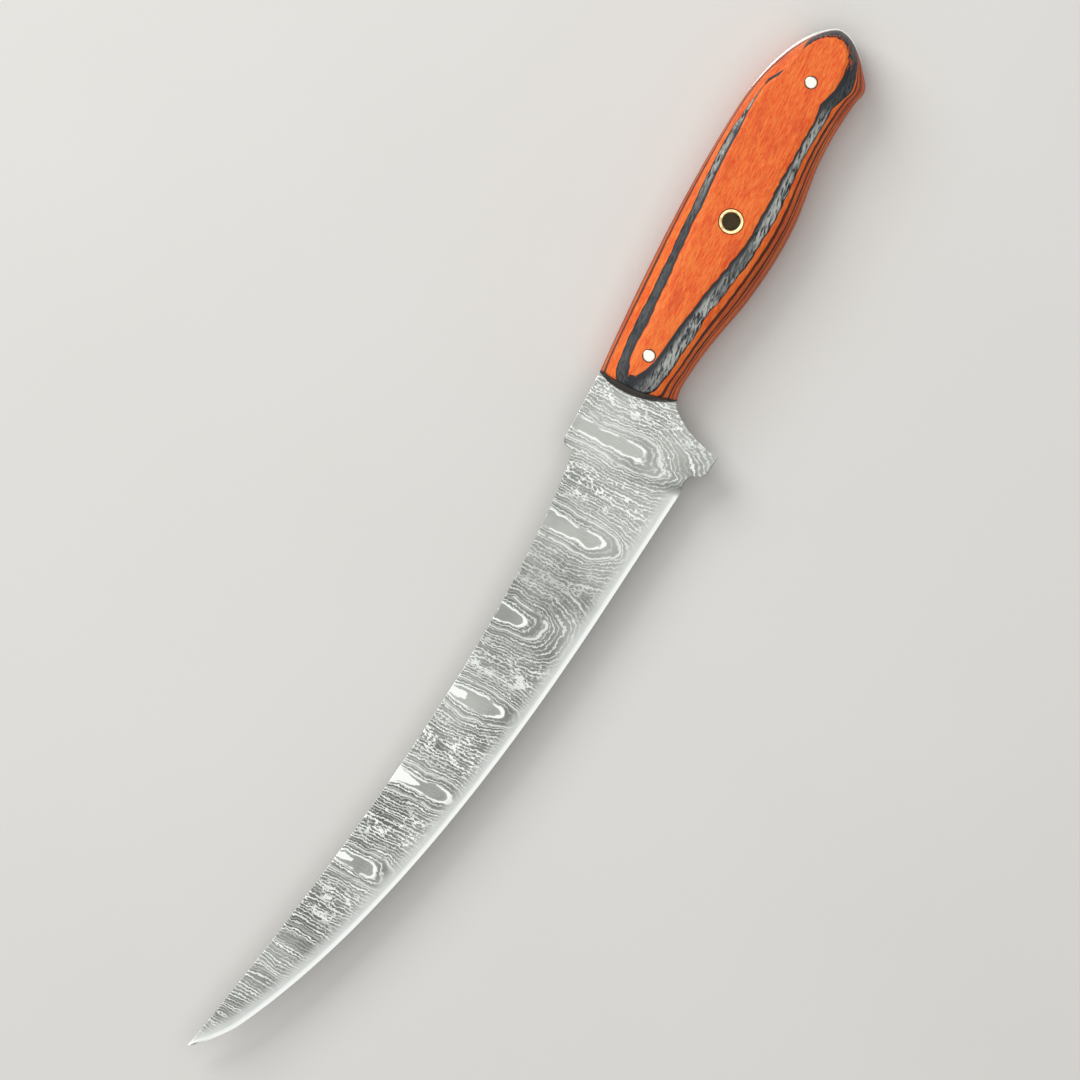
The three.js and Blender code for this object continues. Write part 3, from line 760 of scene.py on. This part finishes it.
def red_veneer():
    """Dyed red wood: noise drawn out along the handle for the grain and its short dark pores, a sine across
    the sheet for the growth rings of the brown ones, whose brown is partly staining and partly painted
    shade, brown at the glue line, which may be frayed, and dark end grain at the front, partly painted
    shade."""
    made, tree, shader = finish_of("red_veneer")
    grain = cloud(tree, grid(tree, (2.8, 0.5, 0.5), 0.1), 1.0, 4.0, 0.7, 0.8)
    pores = fade(tree, cloud(tree, grid(tree, (2.0, 0.34, 0.34), 0.2), warp=1.2), 0.58, 0.72)
    patch = cloud(tree, grid(tree, (12.0, 5.0, 5.0), 0.2), 1.0, 3.0)
    base = blend(tree, fade(tree, grain, 0.3, 0.7), RED_DEEP, RED_PALE)
    base = blend(tree, fade(tree, patch, 0.4, 0.8, 0.0, 0.5), base, RED_LIGHT_PATCH)
    base = blend(tree, fade(tree, patch, 0.48, 0.28, 0.0, 0.5), base, RED_DARK_PATCH)
    base = blend(tree, calc(tree, "MULTIPLY", pores, 0.5), base, RED_PORE)
    # Brown, partly staining and partly painted shade on the lower plies and round the belly.
    stain_and_shade = stored(tree, "stain_and_shade")
    base = blend(tree, stain_and_shade, base, RED_STAINED_AND_SHADED)
    wander = cloud(tree, grid(tree, (14.0, 30.0, 30.0)), 1.0, 3.0)
    rings = calc(tree, "SINE", calc(tree, "MULTIPLY_ADD", stored(tree, "across"), RING_RATE, calc(
        tree, "MULTIPLY", wander, 5.0)))
    streak = calc(tree, "MULTIPLY", fade(tree, rings, 0.2, 0.9), fade(tree, stain_and_shade, 0.1, 0.5, 0.0, 0.55))
    base = blend(tree, streak, base, RED_RING)
    across = shredded(tree, RED_FRAY)
    base = blend(tree, fade(tree, across, 0.14, 0.0, 0.0, 0.8), base, RED_GLUE)
    base = blend(tree, fade(tree, across, 0.0, -0.06), base, SLATE)
    # Dark front face: end grain, partly painted shade.
    base = blend(tree, stored(tree, "end_grain_and_shade"), base, RED_END_AND_SHADE)
    tree.links.new(base, shader.inputs["Base Color"])
    tree.links.new(fade(tree, grain, 0.2, 0.8, 0.52, 0.38), shader.inputs["Roughness"])
    shader.inputs["Specular IOR Level"].default_value = WOOD_SHINE
    relief = node(tree, "ShaderNodeBump", {"Strength": 0.3, "Distance": WOOD_RELIEF, "Height": calc(
        tree, "SUBTRACT", grain, pores)})
    tree.links.new(relief.outputs[0], shader.inputs["Normal"])
    return made


def black_veneer():
    """Dyed black wood: slate, with noise drawn out along the sheet for the gray fibres where the dome cuts
    it at a slant, their gray partly a painted sheen that is strongest on the belly side; brown that is
    partly staining and partly painted shade; dark end grain at the front, partly painted shade; and red
    teeth past the glue line where the face's edge is frayed."""
    made, tree, shader = finish_of("black_veneer")
    fibre_and_sheen = cloud(tree, grid(tree, (2.6, 0.5, 0.5), 0.3), 1.0, 2.0, 0.55, 0.5)
    patch = cloud(tree, grid(tree, (9.0, 5.0, 5.0)))
    across = calc(tree, "ADD", stored(tree, "across"), calc(tree, "MULTIPLY_ADD", fibre_and_sheen, 0.3, -0.15))
    middle = calc(tree, "MULTIPLY", fade(tree, across, 0.05, 0.25), fade(tree, across, 0.95, 0.72))
    shown = calc(tree, "MULTIPLY", middle, fade(tree, stored(tree, "fibre_and_sheen"), 0.0, 1.0, 0.1, 0.9))
    # Gray fibres: partly fibres cut at a slant by the dome, partly a painted sheen.
    gray = calc(tree, "MULTIPLY", calc(tree, "MULTIPLY", shown, fade(tree, fibre_and_sheen, 0.34, 0.6)), fade(
        tree, patch, 0.3, 0.55, 0.3, 1.0))
    base = blend(tree, gray, SLATE, FIBRE_SHEEN_GRAY)
    # Brown, partly staining and partly painted shade on the lower plies.
    base = blend(tree, stored(tree, "stain_and_shade"), base, BLACK_STAINED_AND_SHADED)
    base = blend(tree, fade(tree, shredded(tree, BLACK_FRAY), 1.0, 1.12), base, BLACK_TOOTH)
    # Dark front face: end grain, partly painted shade.
    base = blend(tree, stored(tree, "end_grain_and_shade"), base, BLACK_END_AND_SHADE)
    tree.links.new(base, shader.inputs["Base Color"])
    tree.links.new(fade(tree, fibre_and_sheen, 0.3, 0.7, 0.52, 0.4), shader.inputs["Roughness"])
    shader.inputs["Specular IOR Level"].default_value = WOOD_SHINE
    relief = node(tree, "ShaderNodeBump", {"Strength": 0.3, "Distance": WOOD_RELIEF, "Height": fibre_and_sheen})
    tree.links.new(relief.outputs[0], shader.inputs["Normal"])
    return made


veneers = {"red": red_veneer(), "black": black_veneer()}
for hand, flip in (("left", 1), ("right", -1)):
    for number in range(1, PLIES + 1):
        dye = "red" if number % 2 else "black"
        sheet = ply_piece(f"{hand}_veneer_{number}", number - 1, number, flip, veneers[dye])
        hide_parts(f"{hand}_ply_{number}_{dye}")

# Pins. Two lengths of steel rod, glued through scales and tang, one near each end of the handle.
# Their ends were ground flush with the faces and polished.
PIN_HALF = HALF_STOCK + FACE_HEIGHT
PIN_EDGE = 0.12
PIN_CROWN = 0.05
PIN_CROWN_INNER = 0.3 * PIN_RADIUS
PIN_CROWN_OUTER = 0.75 * PIN_RADIUS
ROUND_CREASE = np.radians(40)
STEEL_DARK = colour(214, 213, 203)
STEEL_BRIGHT = colour(240, 239, 230)


def lathe(outline, centre):
    """Points of a ring of sections: an outline of radius and height, turned about an upright axis."""
    turn = np.linspace(0, 2 * np.pi, ROUND_STEPS, endpoint=False)[:, None]
    radius, z = np.array(outline).T
    x = centre[0] + radius * np.cos(turn)
    y = centre[1] + radius * np.sin(turn)
    return np.stack([x, y, np.broadcast_to(z, x.shape)], axis=-1)


def lathe_faces(sections, closed):
    """Quads between neighbouring sections all the way round. An open outline gets a face at each pole."""
    steps, count = sections.shape[:2]
    index = np.arange(steps * count).reshape(steps, count)
    after = np.roll(index, -1, axis=0)
    if closed:
        index, after = (np.concatenate([ring, ring[:, :1]], axis=1) for ring in (index, after))
    quads = np.stack([index[:, :-1], after[:, :-1], after[:, 1:], index[:, 1:]], axis=-1)
    poles = [] if closed else [index[::-1, 0].tolist(), index[:, -1].tolist()]
    return quads.reshape(-1, 4).tolist() + poles


def polished_steel():
    """Bright steel: noise mixes two near whites, and makes the paler one a little duller."""
    made, tree, shader = finish_of("polished_pin_steel")
    speck = cloud(tree, grid(tree), 2.2, 3.0)
    base = blend(tree, speck, STEEL_DARK, STEEL_BRIGHT)
    tree.links.new(base, shader.inputs["Base Color"])
    tree.links.new(fade(tree, speck, 0.3, 0.7, 0.2, 0.32), shader.inputs["Roughness"])
    shader.inputs["Metallic"].default_value = 1.0
    return made


pin_steel = polished_steel()
pin_outline = [
    (PIN_CROWN_INNER, -PIN_HALF),
    (PIN_CROWN_OUTER, -PIN_HALF + PIN_CROWN / 2),
    (PIN_RADIUS - PIN_EDGE, -PIN_HALF + PIN_CROWN),
    (PIN_RADIUS, -PIN_HALF + PIN_CROWN + PIN_EDGE),
    (PIN_RADIUS, PIN_HALF - PIN_CROWN - PIN_EDGE),
    (PIN_RADIUS - PIN_EDGE, PIN_HALF - PIN_CROWN),
    (PIN_CROWN_OUTER, PIN_HALF - PIN_CROWN / 2),
    (PIN_CROWN_INNER, PIN_HALF),
]
for end, centre in (("front", FRONT_PIN), ("rear", REAR_PIN)):
    sections = lathe(pin_outline, centre)
    pin = piece(f"{end}_pin_rod", sections.reshape(-1, 3), lathe_faces(sections, False), pin_steel)
    pin.data.set_sharp_from_angle(angle=ROUND_CREASE)
    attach(pin, "root")
    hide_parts(f"{end}_pin")

# Lanyard tube. A piece of thin brass tube, open from face to face, glued through the middle of the handle.
# It was ground flush with the scales, and its lips were eased.
TUBE_WALL = 0.9
LIP = 0.22
BRASS_BRIGHT = colour(250, 232, 178)
BRASS_DULL = colour(214, 180, 112)


def pale_brass():
    """Polished brass, a little duller in blotches where fingers have left it."""
    made, tree, shader = finish_of("pale_brass")
    tarnish = cloud(tree, grid(tree), 0.9, 3.0)
    base = blend(tree, fade(tree, tarnish, 0.35, 0.75), BRASS_BRIGHT, BRASS_DULL)
    tree.links.new(base, shader.inputs["Base Color"])
    tree.links.new(fade(tree, tarnish, 0.3, 0.7, 0.2, 0.34), shader.inputs["Roughness"])
    shader.inputs["Metallic"].default_value = 1.0
    return made


bore = TUBE_RADIUS - TUBE_WALL
tube_outline = [
    (bore, -PIN_HALF + LIP),
    (bore + LIP / 3, -PIN_HALF + LIP / 3),
    (bore + LIP, -PIN_HALF),
    (TUBE_RADIUS - LIP / 2, -PIN_HALF),
    (TUBE_RADIUS, -PIN_HALF + LIP / 2),
    (TUBE_RADIUS, PIN_HALF - LIP / 2),
    (TUBE_RADIUS - LIP / 2, PIN_HALF),
    (bore + LIP, PIN_HALF),
    (bore + LIP / 3, PIN_HALF - LIP / 3),
    (bore, PIN_HALF - LIP),
]
tube_sections = lathe(tube_outline, TUBE)
tube_faces = lathe_faces(tube_sections, True)
tube = piece("brass_lanyard_tube", tube_sections.reshape(-1, 3), tube_faces, pale_brass())
tube.data.set_sharp_from_angle(angle=ROUND_CREASE)
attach(tube, "root")
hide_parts("lanyard_tube")

# Floor. A wide table top in pale matt paint, on which the knife lies.
# It is level with the lower scale's face.
FLOOR_HALF = 6.0
TABLE_DARK = colour(226, 224, 219)
TABLE_PALE = colour(232, 230, 226)


def table_top():
    """Pale matt paint with a faint unevenness."""
    made, tree, shader = finish_of("pale_table_top")
    uneven = cloud(tree, grid(tree, (110.0, 110.0, 110.0)), 1.0, 3.0)
    tree.links.new(blend(tree, uneven, TABLE_DARK, TABLE_PALE), shader.inputs["Base Color"])
    shader.inputs["Roughness"].default_value = 0.7
    return made


floor_mesh = bpy.data.meshes.new("floor")
across_floor = FLOOR_HALF * np.array([(-1, -1, 0), (1, -1, 0), (1, 1, 0), (-1, 1, 0)])
floor_mesh.from_pydata(across_floor.tolist(), [], [(0, 1, 2, 3)])
floor_mesh.materials.append(table_top())
floor = bpy.data.objects.new("floor", floor_mesh)
bpy.context.collection.objects.link(floor)

# Light. A wide soft box overhead and a smaller key from the spine side, both aimed at the knife.
# An even white surround fills the shadows.
OVERHEAD_SIZE = 1.6
OVERHEAD_HEIGHT = 1.4
OVERHEAD_POWER = 8.0
KEY_SIZE = 0.8
KEY_AT = (0.35, 0.95, 0.85)
KEY_POWER = 9.0
SURROUND = 0.32


def soft_box(name, place, size, power):
    """A square area light that faces the knife."""
    light = bpy.data.lights.new(name, "AREA")
    light.shape = "SQUARE"
    light.size = size
    light.energy = power
    made = bpy.data.objects.new(name, light)
    made.location = place
    made.rotation_mode = "QUATERNION"
    made.rotation_quaternion = Vector(place).to_track_quat("Z", "Y")
    made.visible_camera = False
    bpy.context.collection.objects.link(made)


soft_box("overhead", (0, 0, OVERHEAD_HEIGHT), OVERHEAD_SIZE, OVERHEAD_POWER)
soft_box("key", KEY_AT, KEY_SIZE, KEY_POWER)
world = bpy.data.worlds.new("surround")
world.use_nodes = True
world.node_tree.nodes["Background"].inputs["Color"].default_value = (1, 1, 1, 1)
world.node_tree.nodes["Background"].inputs["Strength"].default_value = SURROUND
bpy.context.scene.world = world
bpy.context.scene.view_settings.view_transform = "Standard"

# Camera. A long lens square to the knife's left face, rolled so that the knife stands as in the photograph.
# Pixels are of a 1080 by 1080 picture.
PICTURE = 1080.0
TIP_PIXEL = (185.5, 1043.2)
BUTT_PIXEL = (846.0, 33.0)
CAMERA_DISTANCE = 6.0
CLIP_START = 0.05
CLIP_END = 50.0
SENSOR = 36.0

knife_run = np.subtract(BUTT_PIXEL, TIP_PIXEL)
pixel = (BLADE_LENGTH + HANDLE_LENGTH) * MM / np.hypot(*knife_run)
along_x, along_y = knife_run / np.hypot(*knife_run)
back = Vector((0, 0, 1))
right = Vector((along_x, along_y, 0))
up = back.cross(right)
tip = Vector(DATUM + np.array([-BLADE_LENGTH, 0, 0]) * MM)
aim = tip + (right * (PICTURE / 2 - TIP_PIXEL[0]) + up * (TIP_PIXEL[1] - PICTURE / 2)) * float(pixel)
lens = bpy.data.cameras.new("camera")
lens.sensor_width = SENSOR
lens.lens = SENSOR * CAMERA_DISTANCE / (PICTURE * float(pixel))
lens.clip_start = CLIP_START
lens.clip_end = CLIP_END
camera = bpy.data.objects.new("camera", lens)
turn = Matrix((right, up, back)).transposed().to_4x4()
camera.matrix_world = Matrix.Translation(aim + back * CAMERA_DISTANCE) @ turn
bpy.context.collection.objects.link(camera)
bpy.context.scene.camera = camera
